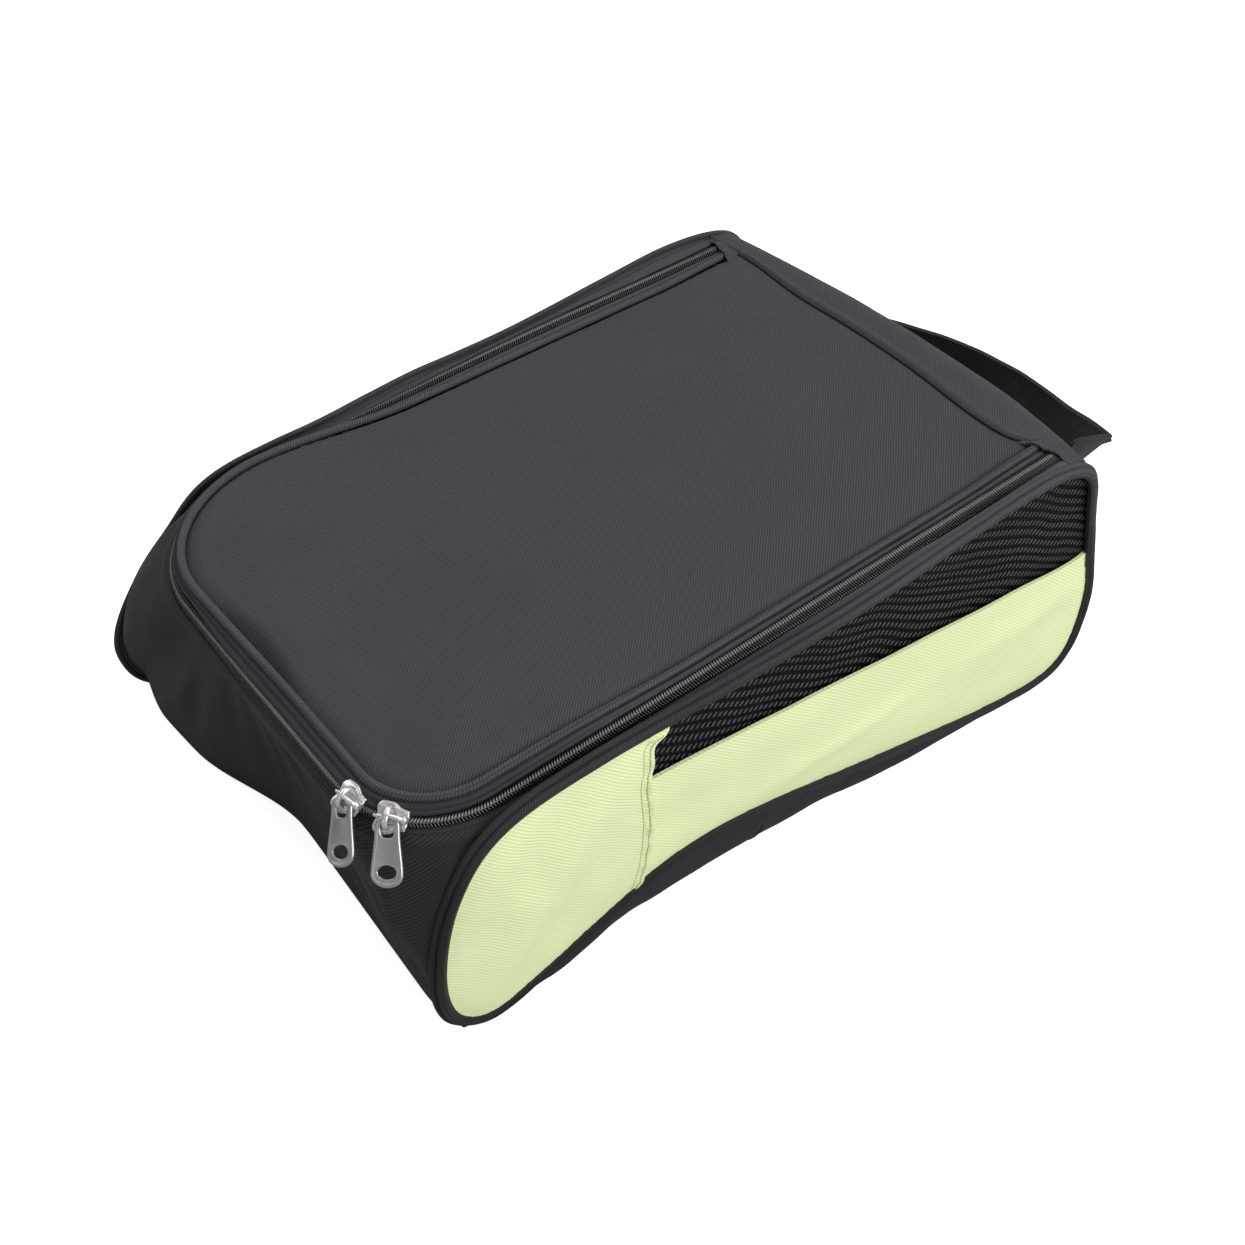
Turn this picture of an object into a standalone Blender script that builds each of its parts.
"""Golf shoe bag: a sewn shell with a zipped lid hinged at the heel, lime side
panels with mesh windows, a webbing handle and two zipper sliders.

Units: metres in the scene, millimetres in the tables below.
Frame: origin on the floor under the middle of the bag, +Z up, -X towards the
toe (zipper front), +X towards the heel (hinge and handle), -Y the left side.
"""
import math

import bmesh
import bpy
import numpy as np
from mathutils import Matrix, Vector

MM = 0.001
LEFT, RIGHT = -1, 1                  # sign of y on each side

# ---------------------------------------------------------------- dimensions
HINGE_X, HINGE_Z = 135.0, 121.3      # lid seam: axis of the lid
LID_SLOPE = math.radians(5.12)       # the lid falls towards the toe
PANEL_Y = {LEFT: -111.6, RIGHT: 114.0}   # outer faces of the two side panels
PANEL_INSET = 3.6
# where gusset, base and heel end
INNER_Y = {side: y - side * PANEL_INSET for side, y in PANEL_Y.items()}
CLOTH = 2.0                          # padded cloth
THIN_CLOTH = 1.2
GUSSET_CLOTH = 1.4
BAND_CLOTH = 1.6
LINING_CLOTH = 0.6
TAPE_THICK = 0.8
GAP = 0.3                            # clearance between sewn pieces
PIPE_R, SIDE_PIPE_R = 1.7, 2.0

# zipper track, as a rounded polygon in the lid's plane:
# p (from the hinge, negative towards the toe) and y
TRACK_REAR_LEFT = np.array((-3.0, -100.3))
TRACK_FRONT_LEFT = np.array((-292.5, -103.6))
TRACK_FRONT_RIGHT = np.array((-300.5, 107.6))
TRACK_REAR_RIGHT = np.array((-3.0, 102.8))
LEFT_BEND_R, RIGHT_BEND_R = 36.0, 58.0
STATION_STEPS = (8, 8, 4, 10, 8)     # left run, left bend, front, right bend, right run
FRONT_TILT = math.radians(26.0)      # the strip leans round the toe
TILT_START = -170.0                  # p where the lean begins

# places across the strip, measured inwards from the coil's middle
COIL = (0.8, 3.2)
COIL_THICK = 2.6
LID_TAPE = (4.95, 7.2)
BODY_TAPE = (-3.5, -4.2)
PIPE_AT = (9.3, 0.6)                 # inwards, off the tape
LID_EDGE = 11.6
GUSSET_EDGE = -6.0

CROWN = 4.0                          # how far the lid stands up in its middle
LID_LIFT = 0.3                       # lid cloth off the tape's plane
LID_REAR_P, LINING_REAR_P = -1.6, -7.0
LINING_INSET = 1.5
LINING_DROP = CLOTH + 1.6

# side panel outline: middle of the piping loop on the left side (x, z)
SIDE_LOOP = [
    (142, 112.5), (147, 96), (154, 71), (161, 45), (158.5, 17), (143, 4.6),
    (105, 6.6), (51, 16), (-13, 28.5), (-44, 31), (-72, 26), (-112, 9.5),
    (-135, 2.6), (-150, 14), (-153, 40), (-145, 73), (-127, 95), (-92, 103),
    (-30, 105.4), (20, 109), (73, 117), (108, 122), (130, 120.5),
]
LOOP_POINTS, FINE_LOOP_POINTS = 72, 600
# the right side's toe stands further forward, its heel's top further back and
# its toe's shoulder lower than the left side's
TOE_LEAD, HEEL_LEAD, SHOULDER_DROP = 22.0, 9.0, 6.0

HEM_BOTTOM, HEM_TOP = (-72.0, 28.0), (-62.0, 104.0)       # seam of the toe panel (x, z)
MESH_TOE, MESH_HEEL = (-66.0, 81.5), (150.0, 71.5)        # seam under the mesh (x, z)
SEAM_TAPE_HALF, SEAM_TAPE_T = 4.0, 1.0
SEAM_TAPE_INSET = 7.0                # ends of the tapes from the piping's middle
MESH_TAPE_START = 4.6                # start of the mesh tape behind the hem seam
SIDE_PIPE_OUT = 0.2                  # piping's middle outside the panel's face

GUSSET_START_X = -88.0               # the top strips end and the toe gusset begins
STRIP_REAR_X = 131.5
GUSSET_BULGE = 5.0
FLOOR_FRONT_X = -150.0
FLOOR_CORNER_R, FLOOR_CORNER_BACK = 15.0, 3.0
BASE_REAR_X = 142.6
BASE_ARC = [math.radians(a) for a in (0, 12, 26, 42, 60, 78, 90)]
BASE_ARC_FRONT_X = {LEFT: -134, RIGHT: -150}   # the arcs' height is constant ahead of this
BOARD_X, BOARD_Y, BOARD_R = (-128, 130), (-76, 76), 24
BOARD_T, BOARD_Z = 2.0, 3.5

# profiles from top to bottom (x, z); the band's are Bezier control points
HEEL_MIDDLE = [
    (157.3, 107), (161, 88), (164, 65), (166.5, 39), (166.5, 18), (159, 4), (145.4, 0.4),
]
HEEL_TOP = {LEFT: (144.0, 107.0), RIGHT: (152.5, 107.0)}   # on the side loops
BAND_MIDDLE = [(137.2, 121.6), (151, 123.8), (155.5, 118), (157, 107.8)]
BAND_LEFT = [(137.2, 118.6), (139.6, 117.4), (142.2, 113.6), (143.7, 108.0)]
BAND_RIGHT = [(137.2, 119.6), (143, 120), (150.2, 116.0), (152.0, 108.0)]
HEEL_COLUMNS = 15

HANDLE_AXIS = (160.5, 87.0)          # x, z of the line through the two anchors
STRAP_T = 1.8
# edges of the webbing, from the left anchor to the right one (x, y, z)
STRAP_TOP = [
    (161.4, -86.5, 86.6), (168, -88.5, 91), (177, -90, 96.5), (186, -90, 101),
    (188.5, -79, 101), (189, -60, 101), (191, -40, 101), (193, -20, 101),
    (190, 2, 101), (185, 21, 100), (180, 43, 97.5), (174, 66, 93),
    (168, 88, 88.5), (164.6, 99.5, 86.6),
]
STRAP_LOW = [
    (163.8, -87.0, 57), (175, -87, 64), (191, -85, 74), (205, -80, 84),
    (208, -70, 81), (205, -55, 77), (204, -38, 74), (204, -18, 72),
    (200, 4, 71), (195, 23, 70), (190, 44, 68), (182, 67, 64.5),
    (172, 90, 58), (165.4, 100.5, 57),
]
ANCHOR_TOP_Z, ANCHOR_LOW_Z = STRAP_TOP[0][2], STRAP_LOW[0][2]
ANCHOR_INSET = 0.4                   # at its top, bottom and outer edges
ANCHOR_CLEARANCE = 0.85              # between heel and webbing

# sliders, in their own frame (x along the track, y outwards, z off the tape)
LEFT_SLIDER_Y = -68.0                # on the straight across the toe
RIGHT_SLIDER_ANGLE = math.radians(35.0)  # back round the left front corner
PLATE_L, PLATE_W, PLATE_T = 9.6, 9.2, 1.3
PLATE_Z = 2.55
LOWER_PLATE_SCALE = 0.78             # width of the lower plate over the upper one
POST_L, POST_W, POST_X = 4.0, 0.8, 1.4
BAIL_W, BAIL_T, BAIL_HALF, BAIL_TOP = 1.8, 1.1, 3.0, 6.9
RIM_OUT, RIM_Z = 1.4, 5.0            # where the pull tab hangs in the bail
TAB_L, TAB_TOP_W, TAB_LOW_W, TAB_T = 23.0, 7.2, 9.8, 1.2
TAB_END_R = 3.2                      # rise of the tab's rounded end
TAB_HOLE_RISE, TAB_HOLE_RX, TAB_HOLE_RY = 4.2, 3.3, 2.3
TAB_DROP = math.radians(18.0)
# hole round the bail, in the tab's own x and y
TAB_EYE = [
    (-1.8, -0.75), (1.8, -0.75), (2.6, -1.6), (2.6, -4.2),
    (1.8, -5.1), (-1.8, -5.1), (-2.6, -4.2), (-2.6, -1.6),
]


# ------------------------------------------------------------- curves in tables
def smooth(start, end, x):
    """Smooth step from 0 at start to 1 at end."""
    t = min(1.0, max(0.0, (x - start) / (end - start)))
    return t * t * (3 - 2 * t)


def run_lengths(points):
    steps = np.linalg.norm(np.diff(points, axis=0), axis=1)
    return np.concatenate([[0], np.cumsum(steps)])


def resample(points, count, closed=False):
    """Evenly spaced points on a polyline; a closed one leaves out its repeated end."""
    points = np.array(points, float)
    lengths = run_lengths(points)
    at = np.linspace(0, lengths[-1], count, endpoint=not closed)
    return np.stack([np.interp(at, lengths, column) for column in points.T], 1)


def spline(points, count, closed=False):
    """Evenly spaced points along a Catmull-Rom curve through the given ones."""
    points = [np.array(p, float) for p in points]
    total = len(points)
    fine = []
    for i in range(total if closed else total - 1):
        if closed:
            before, start, end, after = (points[(i + j - 1) % total] for j in range(4))
        else:
            start, end = points[i], points[i + 1]
            before = points[i - 1] if i > 0 else 2 * start - end
            after = points[i + 2] if i + 2 < total else 2 * end - start
        for t in np.arange(16) / 16:
            fine.append(0.5 * (2 * start + (end - before) * t
                               + (2 * before - 5 * start + 4 * end - after) * t ** 2
                               + (3 * start - 3 * end + after - before) * t ** 3))
    fine.append(fine[0] if closed else points[-1])
    return resample(fine, count, closed)


def bezier(controls, count):
    a, b, c, d = (np.array(p, float) for p in controls)
    return [(1 - t) ** 3 * a + 3 * (1 - t) ** 2 * t * b + 3 * (1 - t) * t * t * c + t ** 3 * d
            for t in (k / (count - 1) for k in range(count))]


def offset_loop(loop, inwards):
    """The closed (x, z) loop moved inwards, towards its middle."""
    x, z = loop.T
    tangent = np.roll(loop, -1, 0) - np.roll(loop, 1, 0)
    tangent /= np.linalg.norm(tangent, axis=1)[:, None]
    normal = np.stack([-tangent[:, 1], tangent[:, 0]], 1)
    area = 0.5 * np.sum(x * np.roll(z, -1) - np.roll(x, -1) * z)
    return loop + normal * inwards * (1 if area > 0 else -1)


def clip(outline, start, end, keep_left, gap):
    """The part of an outline on one side of a line, at least gap away from it."""
    start, end = np.array(start, float), np.array(end, float)
    normal = np.array([-(end - start)[1], (end - start)[0]])
    normal /= np.linalg.norm(normal)
    if not keep_left:
        normal = -normal
    out = []
    for i, p in enumerate(outline):
        q = outline[(i + 1) % len(outline)]
        p_side, q_side = (p - start) @ normal - gap, (q - start) @ normal - gap
        if p_side >= 0:
            out.append(p)
        if p_side * q_side < 0:
            out.append(p + (q - p) * p_side / (p_side - q_side))
    return np.array(out)


# --------------------------------------------------------------- zipper track
def fillet(before, corner, after, radius):
    """Start, end, centre and turn of the arc that rounds a corner."""
    back = (before - corner) / np.linalg.norm(before - corner)
    ahead = (after - corner) / np.linalg.norm(after - corner)
    half = math.acos(float(back @ ahead)) / 2
    reach = radius / math.tan(half)
    middle = (back + ahead) / np.linalg.norm(back + ahead)
    centre = corner + middle * radius / math.sin(half)
    return corner + back * reach, corner + ahead * reach, centre, math.pi - 2 * half


LEFT_BEND_START, LEFT_BEND_END, LEFT_BEND_CENTRE, LEFT_TURN = fillet(
    TRACK_REAR_LEFT, TRACK_FRONT_LEFT, TRACK_FRONT_RIGHT, LEFT_BEND_R)
RIGHT_BEND_START, RIGHT_BEND_END, RIGHT_BEND_CENTRE, RIGHT_TURN = fillet(
    TRACK_FRONT_LEFT, TRACK_FRONT_RIGHT, TRACK_REAR_RIGHT, RIGHT_BEND_R)

# the five pieces of the track by number: straights (start, end), bends (start, centre, radius)
STRAIGHTS = {
    0: (TRACK_REAR_LEFT, LEFT_BEND_START),
    2: (LEFT_BEND_END, RIGHT_BEND_START),
    4: (RIGHT_BEND_END, TRACK_REAR_RIGHT),
}
BENDS = {
    1: (LEFT_BEND_START, LEFT_BEND_CENTRE, LEFT_BEND_R),
    3: (RIGHT_BEND_START, RIGHT_BEND_CENTRE, RIGHT_BEND_R),
}
STRAIGHT_LENGTHS = [np.linalg.norm(end - start) for start, end in STRAIGHTS.values()]
PIECE_ENDS = np.cumsum([
    0, STRAIGHT_LENGTHS[0], LEFT_BEND_R * LEFT_TURN, STRAIGHT_LENGTHS[1],
    RIGHT_BEND_R * RIGHT_TURN, STRAIGHT_LENGTHS[2],
])
# lengths along the track where each later piece begins, and the whole
LEFT_BEND_AT, FRONT_AT, RIGHT_BEND_AT, RIGHT_RUN_AT, TRACK_LENGTH = PIECE_ENDS[1:]


def track(s):
    """(point, direction) in the lid's plane at length s along the zipper."""
    s = min(max(s, 0.0), TRACK_LENGTH)
    piece = min(int(np.searchsorted(PIECE_ENDS, s, side="right")) - 1, 4)
    travel = s - PIECE_ENDS[piece]
    if piece in STRAIGHTS:
        start, end = STRAIGHTS[piece]
        direction = (end - start) / np.linalg.norm(end - start)
        return start + direction * travel, direction
    start, centre, radius = BENDS[piece]
    p, y = start - centre
    cos, sin = math.cos(-travel / radius), math.sin(-travel / radius)
    arm = np.array([p * cos - y * sin, p * sin + y * cos])
    return centre + arm, np.array([arm[1], -arm[0]]) / radius


def tilt(s):
    """Lean of the strip: none at the rear, full round the toe."""
    if LEFT_BEND_AT <= s <= RIGHT_RUN_AT:
        return FRONT_TILT
    full_at = LEFT_BEND_START if s < LEFT_BEND_AT else RIGHT_BEND_END
    return FRONT_TILT * smooth(-TILT_START, -full_at[0], -track(s)[0][0])


SLOPE_COS, SLOPE_SIN = math.cos(LID_SLOPE), math.sin(LID_SLOPE)
LID_UP = np.array([-SLOPE_SIN, 0, SLOPE_COS])


def on_plane(p, y):
    return np.array([HINGE_X + p * SLOPE_COS, y, HINGE_Z + p * SLOPE_SIN])


def plane_inwards(s):
    """Direction in the lid's plane from the track towards the lid's middle."""
    tangent_p, tangent_y = track(s)[1]
    return np.array([tangent_y * SLOPE_COS, -tangent_p, tangent_y * SLOPE_SIN])


def strip_axes(s):
    """Point on the track and the leaning strip's along, across (inwards) and off-tape axes."""
    point, (tangent_p, tangent_y) = track(s)
    along = np.array([tangent_p * SLOPE_COS, tangent_y, tangent_p * SLOPE_SIN])
    inwards = plane_inwards(s)
    cos, sin = math.cos(tilt(s)), math.sin(tilt(s))
    return on_plane(*point), along, inwards * cos + LID_UP * sin, LID_UP * cos - inwards * sin


def strip(s, inwards, off_tape=0.0):
    """A point on the leaning strip at length s."""
    point, _, across, off = strip_axes(s)
    return point + across * inwards + off * off_tape


STATIONS = [s for start, end, steps in zip(PIECE_ENDS, PIECE_ENDS[1:], STATION_STEPS)
            for s in np.linspace(start, end, steps, endpoint=False)] + [TRACK_LENGTH]


# ----------------------------------------------------------------- side loops
def side_loop(side, count=LOOP_POINTS):
    """Middle of the side piping (x, z): down the heel, along the base, up the toe and back."""
    out = spline(SIDE_LOOP, count, closed=True)
    if side == LEFT:
        return out
    return np.array([
        (x - TOE_LEAD * (1 - smooth(25, 86, z)) * smooth(60, 140, -x)
         + HEEL_LEAD * smooth(100, 138, x) * smooth(40, 105, z),
         z - SHOULDER_DROP * smooth(20, 85, -x) * smooth(60, 92, z))
        for x, z in out])


FINE_LOOPS = {side: side_loop(side, FINE_LOOP_POINTS) for side in (LEFT, RIGHT)}


def loop_part(side, first, last):
    """The part of the fine loop between the points nearest to two (x, z) spots, in loop order."""
    points = FINE_LOOPS[side]
    start, end = (int(np.argmin(np.linalg.norm(points - np.array(spot), axis=1)))
                  for spot in (first, last))
    if end < start:
        end += len(points)
    return np.array([points[k % len(points)] for k in range(start, end + 1)])


def forward_on(side):
    return TOE_LEAD if side == RIGHT else 0.0


def bottom_z(side, x):
    points = loop_part(side, (150, 9), (-135 - forward_on(side), 2.6))
    points = points[np.argsort(points[:, 0])]
    return float(np.interp(x, points[:, 0], points[:, 1]))


def top_z(side, x):
    points = loop_part(side, (-100, 97), (140, 118))
    return float(np.interp(x, points[:, 0], points[:, 1]))


# ---------------------------------------------------------------- scene tools
for old in list(bpy.data.objects):
    bpy.data.objects.remove(old, do_unlink=True)


def collection(name):
    made = bpy.data.collections.new(name)
    bpy.context.scene.collection.children.link(made)
    return made


BAG = collection("golf_shoe_bag")
JOINING = collection("joining_shapes")


def material(name, colour, roughness, metallic=0.0, sheen=0.0):
    made = bpy.data.materials.new(name)
    made.use_nodes = True
    inputs = made.node_tree.nodes["Principled BSDF"].inputs
    inputs["Base Color"].default_value = (*colour, 1)
    inputs["Roughness"].default_value = roughness
    inputs["Metallic"].default_value = metallic
    inputs["Sheen Weight"].default_value = sheen
    made.diffuse_color = (*colour, 1)
    return made


CHARCOAL = material("charcoal_twill", colour=(0.058, 0.058, 0.066), roughness=0.8, sheen=0.3)
BLACK = material("black_twill", colour=(0.020, 0.020, 0.023), roughness=0.8, sheen=0.3)
PIPING = material("piping_cloth", colour=(0.050, 0.050, 0.057), roughness=0.75)
TAPE = material("zipper_tape_weave", colour=(0.035, 0.035, 0.040), roughness=0.8)
NYLON = material("nylon_coil", colour=(0.012, 0.012, 0.013), roughness=0.35)
LIME = material("lime_twill", colour=(0.73, 0.84, 0.46), roughness=0.75, sheen=0.2)
MESH = material("air_mesh", colour=(0.013, 0.013, 0.014), roughness=0.85)
LINING = material("lining_cloth", colour=(0.03, 0.03, 0.033), roughness=0.7)
BOARD = material("stiffener_board", colour=(0.10, 0.10, 0.10), roughness=0.6)
WEBBING = material("webbing", colour=(0.015, 0.015, 0.018), roughness=0.7)
METAL = material("polished_nickel", colour=(0.72, 0.71, 0.70), roughness=0.18, metallic=1.0)


def empty(name, at):
    made = bpy.data.objects.new(name, None)
    made.empty_display_size = 0.02
    made.location = Vector(at) * MM
    BAG.objects.link(made)
    return made


HINGE = empty("lid_hinge_axis", (HINGE_X, 0, HINGE_Z))
HANDLE_PIVOT = empty("handle_axis", (HANDLE_AXIS[0], 0, HANDLE_AXIS[1]))
LEFT_CORNER = empty("right_slider_axis", on_plane(*LEFT_BEND_CENTRE))


def add(name, data, mat=None, parent=None, matrix=None, group=BAG):
    """Adds an object; matrix places it in the world whether or not it has a parent."""
    obj = bpy.data.objects.new(name, data)
    group.objects.link(obj)
    if mat:
        data.materials.append(mat)
    if parent:
        obj.parent = parent
        obj.matrix_parent_inverse = Matrix.Translation(parent.location).inverted()
    if matrix:
        obj.matrix_basis = matrix
    return obj


def mesh_from(name, bm):
    mesh = bpy.data.meshes.new(name)
    bm.to_mesh(mesh)
    bm.free()
    return mesh


def sheet(name, rows, thickness, mat, out, parent=None, offset=-1.0):
    """A grid of points made into cloth, its face turned towards `out`.

    Offset -1 puts the thickness behind the points, 0 to both sides of them.
    """
    bm = bmesh.new()
    grid = [[bm.verts.new(Vector(p) * MM) for p in row] for row in rows]
    for row, following in zip(grid, grid[1:]):
        for k in range(len(row) - 1):
            bm.faces.new((row[k], row[k + 1], following[k + 1], following[k]))
    bm.normal_update()
    total = Vector((0, 0, 0))
    for face in bm.faces:
        total += face.normal * face.calc_area()
    if total.dot(Vector(out)) < 0:
        bmesh.ops.reverse_faces(bm, faces=bm.faces[:])
    obj = add(name, mesh_from(name, bm), mat, parent)
    solidify = obj.modifiers.new("Thickness", "SOLIDIFY")
    solidify.thickness = thickness * MM
    solidify.offset = offset
    solidify.use_even_offset = False


def closed_or_open_line(curve, points, closed):
    line = curve.splines.new("POLY")
    line.points.add(len(points) - 1)
    for target, point in zip(line.points, points):
        target.co = (*(Vector(point) * MM), 1)
    line.use_cyclic_u = closed


def cord(name, points, radius, mat, parent=None, closed=False, resolution=2):
    curve = bpy.data.curves.new(name, "CURVE")
    curve.dimensions = "3D"
    curve.bevel_depth = radius * MM
    curve.bevel_resolution = resolution
    curve.use_fill_caps = True
    closed_or_open_line(curve, points, closed)
    add(name, curve, mat, parent)


def plate(name, outlines, thickness, mat, matrix, parent=None):
    """A flat piece: outline and holes in its own x and y, placed by a matrix."""
    curve = bpy.data.curves.new(name, "CURVE")
    curve.dimensions = "2D"
    curve.fill_mode = "BOTH"
    curve.extrude = thickness * MM / 2
    for outline in outlines:
        closed_or_open_line(curve, [(x, y, 0) for x, y in outline], closed=True)
    add(name, curve, mat, parent, matrix)


def box(name, size, at, matrix, group):
    bm = bmesh.new()
    bmesh.ops.create_cube(bm, size=1.0)
    bmesh.ops.scale(bm, vec=Vector(size) * MM, verts=bm.verts)
    bmesh.ops.translate(bm, vec=Vector(at) * MM, verts=bm.verts)
    return bm, add(name, mesh_from(name, bm), matrix=matrix, group=group)


def prism(name, outline, low_z, high_z, matrix, mat=None, parent=None, group=BAG):
    bm = bmesh.new()
    low = bm.faces.new([bm.verts.new(Vector((x, y, low_z)) * MM) for x, y in outline])
    made = bmesh.ops.extrude_face_region(bm, geom=[low])
    top = [v for v in made["geom"] if isinstance(v, bmesh.types.BMVert)]
    bmesh.ops.translate(bm, vec=Vector((0, 0, (high_z - low_z) * MM)), verts=top)
    bmesh.ops.recalc_face_normals(bm, faces=bm.faces[:])
    return add(name, mesh_from(name, bm), mat, parent, matrix, group)


def frame_matrix(x_axis, y_axis, z_axis, at):
    matrix = Matrix.Identity(4)
    for column, axis in enumerate((x_axis, y_axis, z_axis)):
        for row in range(3):
            matrix[row][column] = axis[row]
    matrix.translation = Vector(at) * MM
    return matrix


# ------------------------------------------------------------ lid and zipper
def ribbon(name, edges, thickness, mat, parent=None):
    """A band along the whole track between two places across the strip."""
    rows = [[strip(s, edge) for edge in edges] for s in STATIONS]
    sheet(name, rows, thickness, mat, (0, 0, 1), parent, offset=0.0)


def lid_rows(edge, rear_p, count=18, columns=12):
    """Rows across the lid, from the hinge to the toe, inset by edge from the track."""
    left, right = (
        np.array([strip(s, edge, LID_LIFT) for s in np.linspace(rear, front, 300)])
        for rear, front in ((0, FRONT_AT), (TRACK_LENGTH, RIGHT_BEND_AT)))
    front_p = (left[-1][0] - HINGE_X) / SLOPE_COS
    front_lean = (right[-1][0] - left[-1][0]) / (right[-1][1] - left[-1][1]) / SLOPE_COS

    def scaled_p(point):
        """p stretched so that both front corners come at front_p."""
        lead = front_lean * (point[1] - left[-1][1])
        return (point[0] - HINGE_X) / SLOPE_COS / (1 + lead / front_p)

    def edge_point(points, keys, p):
        return np.array([np.interp(-p, -keys, column) for column in points.T])

    left_keys, right_keys = (np.array([scaled_p(v) for v in part]) for part in (left, right))
    rows = []
    for i in range(count):
        t = i / (count - 1)
        t = 0.35 * t + 0.65 * math.sin(t * math.pi / 2)   # rows crowd towards the toe
        p = rear_p + (front_p - rear_p) * t
        start = edge_point(left, left_keys, p)
        end = edge_point(right, right_keys, p)
        row = []
        for k in range(columns):
            u = k / (columns - 1)
            rise = CROWN * (1 - (2 * u - 1) ** 2) * math.sin(math.pi * min(1, t)) ** 0.7
            row.append(start + (end - start) * u + LID_UP * rise)
        rows.append(row)
    return rows


def build_lid():
    sheet("lid_panel", lid_rows(LID_EDGE, LID_REAR_P), CLOTH, CHARCOAL, (0, 0, 1), HINGE)
    lining = [[point - LID_UP * LINING_DROP for point in row]
              for row in lid_rows(LID_EDGE + LINING_INSET, LINING_REAR_P)]
    sheet("lid_lining", lining, LINING_CLOTH, LINING, (0, 0, 1), HINGE)
    # the piping starts one station ahead of the track's left end
    cord("lid_piping", [strip(s, *PIPE_AT) for s in STATIONS[1:]], PIPE_R, PIPING, HINGE)
    ribbon("lid_zipper_tape", LID_TAPE, TAPE_THICK, TAPE, HINGE)
    ribbon("lid_zipper_coil", COIL, COIL_THICK, NYLON, HINGE)


def build_body_zipper():
    ribbon("body_zipper_coil", (-COIL[0], -COIL[1]), COIL_THICK, NYLON)
    ribbon("body_zipper_tape", BODY_TAPE, TAPE_THICK, TAPE)


# --------------------------------------------------- body: strips and gusset
def track_at_x(side, x):
    """Length along the track where the gusset's edge passes x, on one side's run."""
    rear, front = (0, LEFT_BEND_AT) if side == LEFT else (TRACK_LENGTH, RIGHT_RUN_AT)
    lengths = np.linspace(rear, front, 200)
    xs = np.array([strip(s, GUSSET_EDGE)[0] for s in lengths])
    return float(np.interp(-x, -xs, lengths))


def build_top_strip(name, side):
    """The cloth between the zipper and a side panel's top edge."""
    rows = []
    for x in np.linspace(STRIP_REAR_X, GUSSET_START_X + 1.2, 16):
        inner = strip(track_at_x(side, x), GUSSET_EDGE - 0.1)
        outer = np.array([x, PANEL_Y[side] - side * 3.0, top_z(side, x) - 0.6])
        rows.append([inner, (inner + outer) / 2, outer])
    sheet(name, rows, THIN_CLOTH, CHARCOAL, (0, 0, 1), offset=0.0)


def floor_front(y):
    """x of the base's front edge on the floor, rounded back at both ends."""
    from_end = max(0.0, min(y - INNER_Y[LEFT], INNER_Y[RIGHT] - y))
    back = 0.0
    if from_end < FLOOR_CORNER_R:
        back = FLOOR_CORNER_BACK * (1 - from_end / FLOOR_CORNER_R) ** 2
    lead = TOE_LEAD * (0.75 * smooth(3, 66, y) + 0.25 * smooth(40, 114, y))
    return FLOOR_FRONT_X + back - lead


def lower_edge(side_count, front_count):
    """Down the left toe, across the floor and up the right toe."""
    sides = {}
    for side, top_height in ((LEFT, 103), (RIGHT, 97)):
        part = loop_part(side, (-147 - forward_on(side), 9), (GUSSET_START_X, top_height))
        part = resample(part[::side], side_count)
        sides[side] = [np.array([x, INNER_Y[side], z]) for x, z in part]
    left, right = sides[LEFT], sides[RIGHT]
    ys = np.linspace(INNER_Y[LEFT] + 1.5, INNER_Y[RIGHT] - 1.5, 60)
    floor = [np.array([floor_front(y), y, 1.2]) for y in ys]
    floor = resample([left[-1]] + floor + [right[0]], front_count)
    return left + list(floor[1:-1]) + right


def gusset_tops(total, side_count):
    """Lengths along the track at which the gusset's columns begin."""
    left_start, right_start = (track_at_x(side, GUSSET_START_X) for side in (LEFT, RIGHT))
    left_knee, right_knee = FRONT_AT + 2, RIGHT_BEND_AT - 6
    tops = []
    for k in range(total):
        if k < side_count:
            t = k / (side_count - 1)
            tops.append(left_start + (left_knee - left_start) * t ** 1.15)
        elif k >= total - side_count:
            t = (total - 1 - k) / (side_count - 1)
            tops.append(right_start + (right_knee - right_start) * t ** 1.15)
        else:
            t = (k - side_count + 1) / (total - 2 * side_count + 1)
            tops.append(left_knee + (right_knee - left_knee) * t)
    # a running mean of five evens out the spacing at the knees
    padded = np.pad(tops, 2, mode="reflect", reflect_type="odd")
    return np.convolve(padded, np.ones(5) / 5, "valid")


def gusset_column(s, low, rows_down):
    """Points from the zipper strip down to a point of the lower edge."""
    top = strip(s, GUSSET_EDGE + 0.6 * (1 - tilt(s) / FRONT_TILT))
    end = np.array([low[0], low[1], min(low[2], top[2] - 1.5)])
    facing_toe = max(0.0, plane_inwards(s)[0]) ** 1.5
    fullest = GUSSET_BULGE * min(1.0, np.linalg.norm(top - low) / 40) * facing_toe
    column = []
    for t in (k / rows_down for k in range(rows_down + 1)):
        bulge = fullest * math.sin(math.pi * t)
        column.append(top + (end - top) * t - np.array([bulge, 0, 0]))
    return column


def build_gusset(side_count=13, front_count=22, rows_down=7):
    low = lower_edge(side_count, front_count)
    columns = [gusset_column(s, point, rows_down)
               for s, point in zip(gusset_tops(len(low), side_count), low)]
    sheet("toe_gusset", list(zip(*columns)), GUSSET_CLOTH, BLACK, (-1, 0, 0.2))


# ------------------------------------------------------------------ body: base
def base_arc(side, centre_x):
    """(y, z) from a side panel's lower edge down and round to the floor."""
    height = bottom_z(side, max(centre_x, BASE_ARC_FRONT_X[side]))
    reach = min(30.0, max(7.0, height * 1.05))
    return [(INNER_Y[side] - side * reach * (1 - math.cos(a)), height * (1 - math.sin(a)))
            for a in BASE_ARC]


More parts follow.
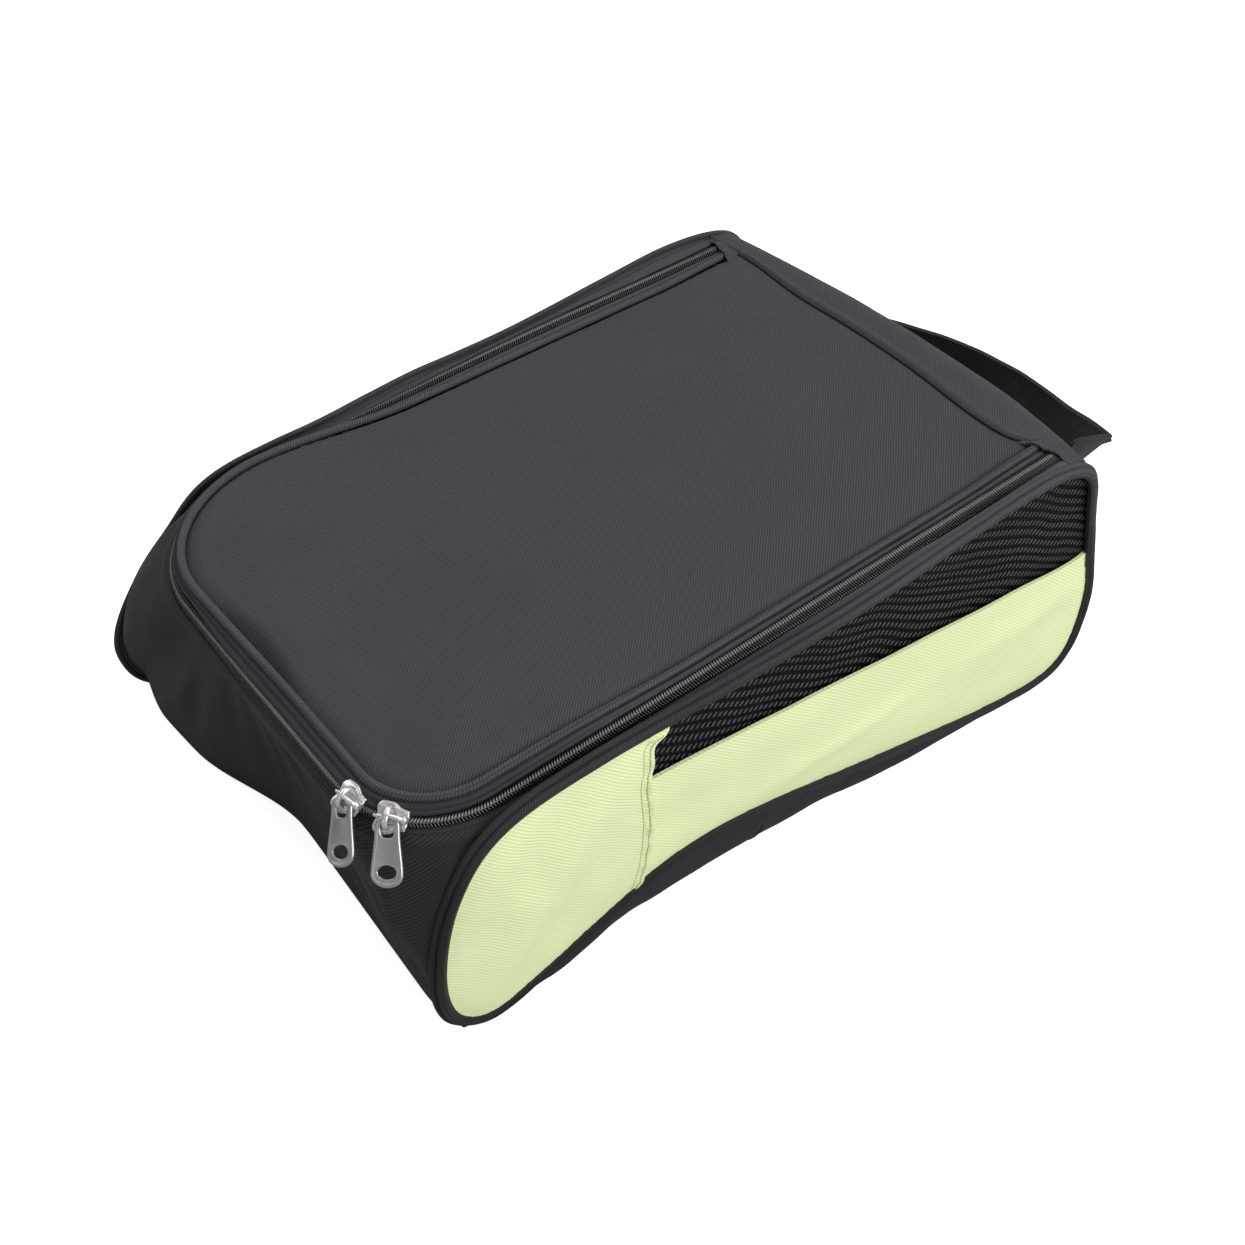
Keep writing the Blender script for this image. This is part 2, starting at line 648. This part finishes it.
def base_front(y):
    """Front of the base: the rearmost of three spots on the floor edge, set back."""
    spots = (min(max(y + k, INNER_Y[LEFT]), INNER_Y[RIGHT]) for k in (-5, 0, 5))
    return max(floor_front(spot) for spot in spots) + 3.6


def build_base(count=20):
    rows = []
    middle_front = FLOOR_FRONT_X + 4
    for t in (i / (count - 1) for i in range(count)):
        centre_x = middle_front + (BASE_REAR_X - middle_front) * t
        left, right = (base_arc(side, centre_x) for side in (LEFT, RIGHT))
        flat_start, flat_end = left[-1][0], right[-1][0]
        flat = [(flat_start + (flat_end - flat_start) * k / 4, 0.0) for k in (1, 2, 3)]
        row = []
        for y, z in left + flat + right[::-1]:
            front = base_front(y)
            row.append(np.array([front + (BASE_REAR_X - front) * t, y, z]))
        rows.append(row)
    sheet("base_panel", rows, CLOTH, BLACK, (0, 0, -1))


def rounded_rectangle(x_range, y_range, radius, steps=6):
    (x0, x1), (y0, y1) = x_range, y_range
    corners = (
        (x1 - radius, y1 - radius, 0), (x0 + radius, y1 - radius, 90),
        (x0 + radius, y0 + radius, 180), (x1 - radius, y0 + radius, 270),
    )
    out = []
    for x, y, start in corners:
        for k in range(steps + 1):
            angle = math.radians(start + 90 * k / steps)
            out.append((x + radius * math.cos(angle), y + radius * math.sin(angle)))
    return out


def build_base_board():
    plate("base_board", [rounded_rectangle(BOARD_X, BOARD_Y, BOARD_R)], BOARD_T, BOARD,
          Matrix.Translation((0, 0, BOARD_Z * MM)))


# --------------------------------------------------------- body: heel and band
def blend_across(left, middle, right, u):
    """Between the sides' values and the middle one, at share u from left to right."""
    side_value = left + (right - left) * smooth(0, 1, u)
    fullness = 1 - abs(2 * u - 1) ** 2.6
    return side_value + (middle - side_value) * fullness


def across_rows(left, middle, right):
    """Rows from the left side's curve through the middle one to the right side's."""
    rows = []
    for a, m, b in zip(left, middle, right):
        row = []
        for u in (k / (HEEL_COLUMNS - 1) for k in range(HEEL_COLUMNS)):
            x, z = blend_across(a, m, b, u)
            row.append((x, INNER_Y[LEFT] + (INNER_Y[RIGHT] - INNER_Y[LEFT]) * u, z))
        rows.append(row)
    return rows


def build_hinge_band(count=8):
    rows = across_rows(*(bezier(c, count) for c in (BAND_LEFT, BAND_MIDDLE, BAND_RIGHT)))
    sheet("hinge_band", rows, BAND_CLOTH, CHARCOAL, (0.4, 0, 1))


def build_heel(count=14):
    left, right = (resample(loop_part(side, HEEL_TOP[side], (145.0, 4.9)), count)
                   for side in (LEFT, RIGHT))
    rows = across_rows(left, spline(HEEL_MIDDLE, count), right)
    sheet("heel_panel", rows, CLOTH, BLACK, (1, 0, 0))


# ------------------------------------------------------------ body: the sides
def stand_up(y):
    """Places a flat outline drawn in x and z on the plane at y."""
    return Matrix.Translation((0, y * MM, 0)) @ Matrix.Rotation(math.pi / 2, 4, "X")


def seam_band(outline, seam):
    """The part of an outline that lies along a seam."""
    for keep_left in (True, False):
        outline = clip(outline, *seam, keep_left=keep_left, gap=-SEAM_TAPE_HALF)
    return outline


def build_side(word, side):
    """Toe panel, lower panel and mesh window, the tapes behind their seams and the piping."""
    loop = side_loop(side)
    hem, seam = (HEM_BOTTOM, HEM_TOP), (MESH_TOE, MESH_HEEL)
    edge = offset_loop(loop, SIDE_PIPE_R + GAP)
    toe = clip(edge, *hem, keep_left=True, gap=GAP / 2)
    rear = clip(edge, *hem, keep_left=False, gap=GAP / 2)
    low = clip(rear, *seam, keep_left=False, gap=GAP / 2)
    high = clip(rear, *seam, keep_left=True, gap=GAP / 2)
    cloth_place = stand_up(PANEL_Y[side] - side * CLOTH / 2)
    plate(word + "_toe_panel", [toe], CLOTH, LIME, cloth_place)
    plate(word + "_lower_panel", [low], CLOTH, LIME, cloth_place)
    plate(word + "_mesh_window", [high], CLOTH, MESH, cloth_place)

    inner = offset_loop(loop, SEAM_TAPE_INSET)
    tape_place = stand_up(PANEL_Y[side] - side * (CLOTH + GAP + SEAM_TAPE_T / 2))
    # the mesh seam's tape stops short of the hem's
    stop = [(x + MESH_TAPE_START, z) for x, z in (HEM_BOTTOM, HEM_TOP)]
    mesh_tape = clip(seam_band(inner, seam), *stop, keep_left=False, gap=0.0)
    plate(word + "_toe_seam_tape", [seam_band(inner, hem)], SEAM_TAPE_T, TAPE, tape_place)
    plate(word + "_mesh_seam_tape", [mesh_tape], SEAM_TAPE_T, TAPE, tape_place)
    cord(word + "_side_piping", [(x, PANEL_Y[side] + side * SIDE_PIPE_OUT, z) for x, z in loop],
         SIDE_PIPE_R, PIPING, closed=True, resolution=1)


# --------------------------------------------------------------------- handle
def build_strap(count=34, columns=4):
    rows = [[top + (low - top) * k / (columns - 1) for k in range(columns)]
            for top, low in zip(spline(STRAP_TOP, count), spline(STRAP_LOW, count))]
    sheet("handle_strap", rows, STRAP_T, WEBBING, (1, 0, 0), HANDLE_PIVOT, offset=0.0)


def heel_x(y, z):
    """Outer face of the heel at a spot."""
    left, right = (loop_part(side, HEEL_TOP[side], (157.0, 14.0)) for side in (LEFT, RIGHT))
    curves = (left, spline(HEEL_MIDDLE, 60), right)
    u = (y - INNER_Y[LEFT]) / (INNER_Y[RIGHT] - INNER_Y[LEFT])
    return blend_across(*(float(np.interp(-z, -c[:, 1], c[:, 0])) for c in curves), u)


def build_anchor(name, side, inner_y, top_x, low_x):
    """Sewn end of the webbing: it starts on the heel at its outer edge and
    leaves it towards its inner edge, whose x at the top and bottom is given."""
    outer_y = INNER_Y[side] - side * ANCHOR_INSET
    height = ANCHOR_TOP_Z - ANCHOR_LOW_Z
    rows = []
    for z in np.linspace(ANCHOR_LOW_Z + ANCHOR_INSET, ANCHOR_TOP_Z - ANCHOR_INSET, 5):
        end_x = top_x + (low_x - top_x) * (ANCHOR_TOP_Z - z) / height
        row = []
        for t in (k / 4 for k in range(5)):
            y = outer_y + (inner_y - outer_y) * t
            x = heel_x(y, z) + ANCHOR_CLEARANCE + STRAP_T / 2
            row.append((x + max(0.0, end_x - x) * t ** 2, y, z))
        rows.append(row)
    sheet(name, rows, STRAP_T, WEBBING, (1, -0.2 * side, 0), offset=0.0)


# -------------------------------------------------------------------- sliders
def plate_outline(width_scale=1.0):
    """Shield shape: wide shoulders towards +x, narrower towards -x."""
    l, w = PLATE_L / 2, PLATE_W / 2
    half = [(-l, w * 0.66), (-l * 0.55, w * 0.80), (l * 0.15, w), (l * 0.8, w), (l, w * 0.72)]
    return [(x, y * width_scale) for x, y in half + [(x, -y) for x, y in half[::-1]]]


def bail_outline():
    """The bail seen along the track: outwards and off the tape."""
    half, t = BAIL_HALF, BAIL_T / 2
    foot = PLATE_Z + 0.2
    outer = [(-half - t, foot), (-half - t, 5.3), (-half + 0.2, 6.7), (-half + 1.4, BAIL_TOP + t)]
    inner = [(half - t, foot), (half - t, 5.0), (half - 0.95, 6.0), (half - 1.7, BAIL_TOP - t)]
    return [point for part in (outer, inner)
            for point in part + [(-y, z) for y, z in part[::-1]]]


def build_slider(name, s, parent=None):
    """Upper plate, with the post, lower plate and bail joined to it."""
    at, along, across, off = strip_axes(s)
    place = frame_matrix(along, -across, off, at)
    bail_place = frame_matrix(-across, off, along, at)
    half = PLATE_T / 2
    top = prism(name, plate_outline(), PLATE_Z - half, PLATE_Z + half, place, METAL, parent)
    low = prism(name + "_lower_plate", plate_outline(LOWER_PLATE_SCALE),
                -PLATE_Z - half, -PLATE_Z + half, place, group=JOINING)
    _, post = box(name + "_post", (POST_L, POST_W, 2 * PLATE_Z), (POST_X, 0, 0), place, JOINING)
    bail = prism(name + "_bail", bail_outline(), -BAIL_W / 2, BAIL_W / 2, bail_place,
                 group=JOINING)
    if parent:
        for piece in (low, post, bail):
            piece.parent = parent
            piece.matrix_parent_inverse = Matrix.Translation(parent.location).inverted()
    for piece in (post, low, bail):
        piece.hide_render = True
        piece.display_type = "WIRE"
        join = top.modifiers.new("Join " + piece.name, "BOOLEAN")
        join.operation = "UNION"
        join.solver = "EXACT"
        join.object = piece


def tab_outline():
    top, low = TAB_TOP_W / 2, TAB_LOW_W / 2
    head = [(-top * 0.55, 0.75), (top * 0.55, 0.75), (top, -0.7), (top, -3.5)]
    end = [(low * math.cos(a), -TAB_L + TAB_END_R * (1 + math.sin(a)))
           for a in np.linspace(0, -math.pi, 9)]
    return head + end + [(-top, -3.5), (-top, -0.7)]


def tab_hole(count=14):
    return [(TAB_HOLE_RX * math.cos(a), -TAB_L + TAB_HOLE_RISE + TAB_HOLE_RY * math.sin(a))
            for a in (2 * math.pi * k / count for k in range(count))]


def build_pull_tab(name, s, parent=None):
    """The tab hangs from the bail, outwards and down towards the tape."""
    at, along, across, off = strip_axes(s)
    rim = at - across * RIM_OUT + off * RIM_Z
    upwards = across * math.cos(TAB_DROP) + off * math.sin(TAB_DROP)
    place = frame_matrix(along, upwards, np.cross(along, upwards), rim)
    plate(name, [tab_outline(), TAB_EYE, tab_hole()], TAB_T, METAL, place, parent)


def build_sliders():
    front = np.linspace(FRONT_AT, RIGHT_BEND_AT, 2000)
    left_s = min(front, key=lambda s: abs(track(s)[0][1] - LEFT_SLIDER_Y))
    right_s = FRONT_AT - LEFT_BEND_R * RIGHT_SLIDER_ANGLE
    for word, s, parent in (("left", left_s, None), ("right", right_s, LEFT_CORNER)):
        build_slider(word + "_slider", s, parent)
        build_pull_tab(word + "_pull_tab", s, parent)


build_lid()
build_body_zipper()
build_top_strip("left_top_strip", LEFT)
build_top_strip("right_top_strip", RIGHT)
build_gusset()
build_base()
build_base_board()
build_hinge_band()
build_heel()
build_side("left", LEFT)
build_side("right", RIGHT)
build_strap()
build_sliders()
build_anchor("left_handle_anchor", LEFT, inner_y=-88.2, top_x=160.6, low_x=163.0)
build_anchor("right_handle_anchor", RIGHT, inner_y=100.8, top_x=164.0, low_x=164.8)
